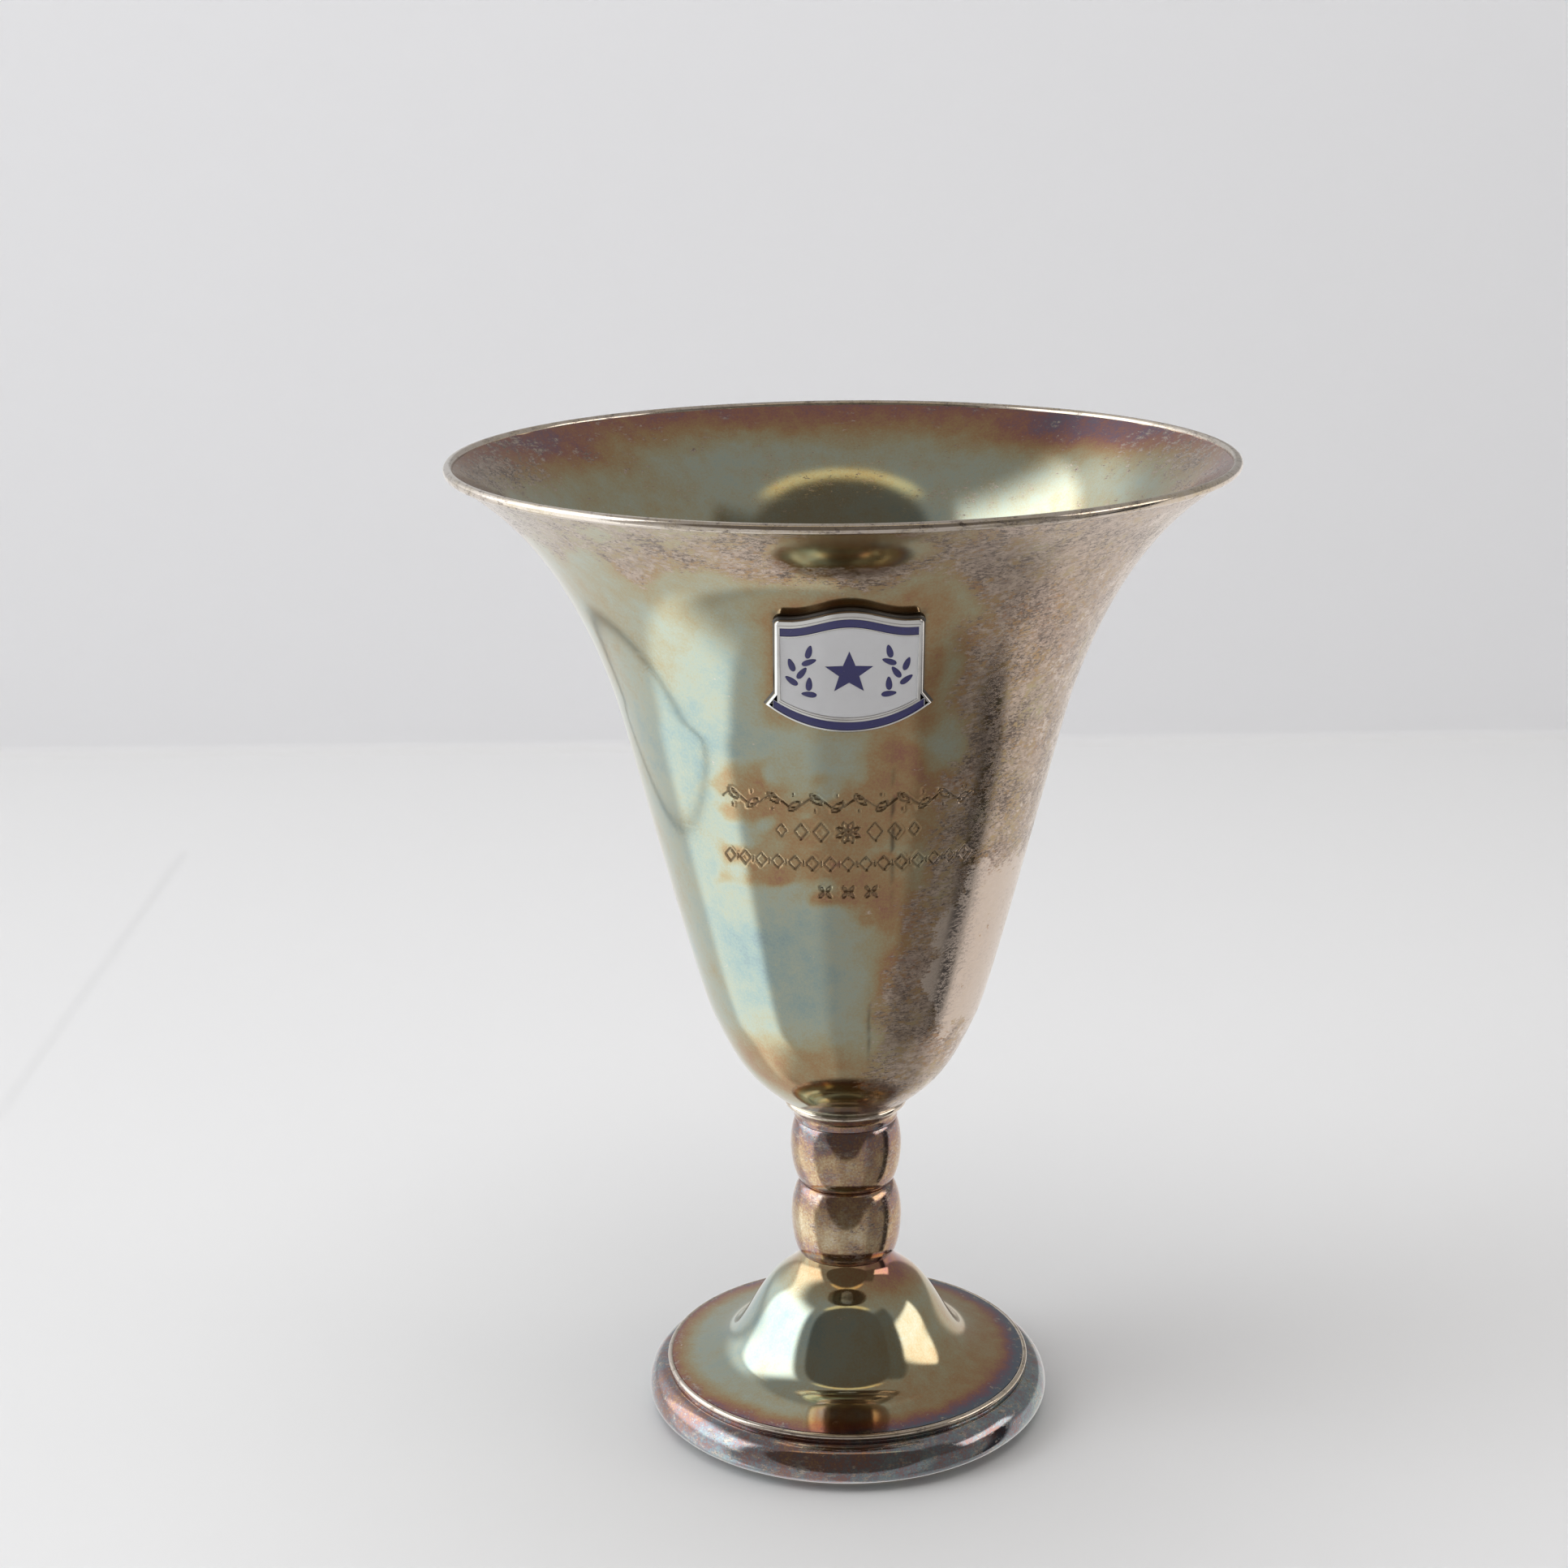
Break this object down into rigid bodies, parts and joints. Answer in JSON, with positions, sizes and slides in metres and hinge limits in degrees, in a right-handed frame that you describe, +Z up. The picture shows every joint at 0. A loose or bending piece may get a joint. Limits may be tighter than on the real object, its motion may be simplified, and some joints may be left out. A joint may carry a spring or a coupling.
{
  "type": "prize cup",
  "caption": "Flared silver prize cup with an enamelled shield badge, on a two-knop stem and a spread foot with a rolled border.",
  "frame": {"origin": "centre of the resting face, on the cup's axis at table height", "axes": "+Z up along the cup's axis, -Y through the middle of the badge, +X to the right of someone who faces the badge"},
  "size_m": [0.122, 0.122, 0.16],
  "materials": {
    "bowl_silver": "spun and polished silver with an iridescent tarnish",
    "wire_silver": "polished drawn silver wire",
    "stem_silver": "polished silver with a brown and pink tarnish",
    "foot_silver": "spun and polished silver with an iridescent tarnish",
    "border_silver": "rolled silver moulding with a dark purple tarnish",
    "hidden_brass": "turned brass, unpolished",
    "solder_grey": "soft solder, dull grey",
    "badge_silver": "die-struck and polished silver",
    "enamel_white": "opaque glass enamel, stoned flush and polished",
    "enamel_blue": "dark blue glass enamel, stoned flush and polished"
  },
  "bodies": {
    "root": {"bowl": "bowl_silver", "rim_wire": "wire_silver", "bowl_boss": "hidden_brass", "collar": "stem_silver", "collar_bead": "wire_silver", "upper_knop": "stem_silver", "lower_knop": "stem_silver", "knop_spigot": "hidden_brass", "foot_bush": "hidden_brass", "tie_rod": "hidden_brass", "rod_washer": "hidden_brass", "rod_nut": "hidden_brass", "foot_dome": "foot_silver", "foot_bead": "wire_silver", "foot_border": "border_silver", "base_ring": "wire_silver", "badge_solder": "solder_grey", "badge_plate": "badge_silver", "badge_white_enamel": "enamel_white", "badge_top_band": "enamel_blue", "badge_bottom_band": "enamel_blue", "badge_star": "enamel_blue", "badge_laurel": "enamel_blue"}
  },
  "joints": []
}
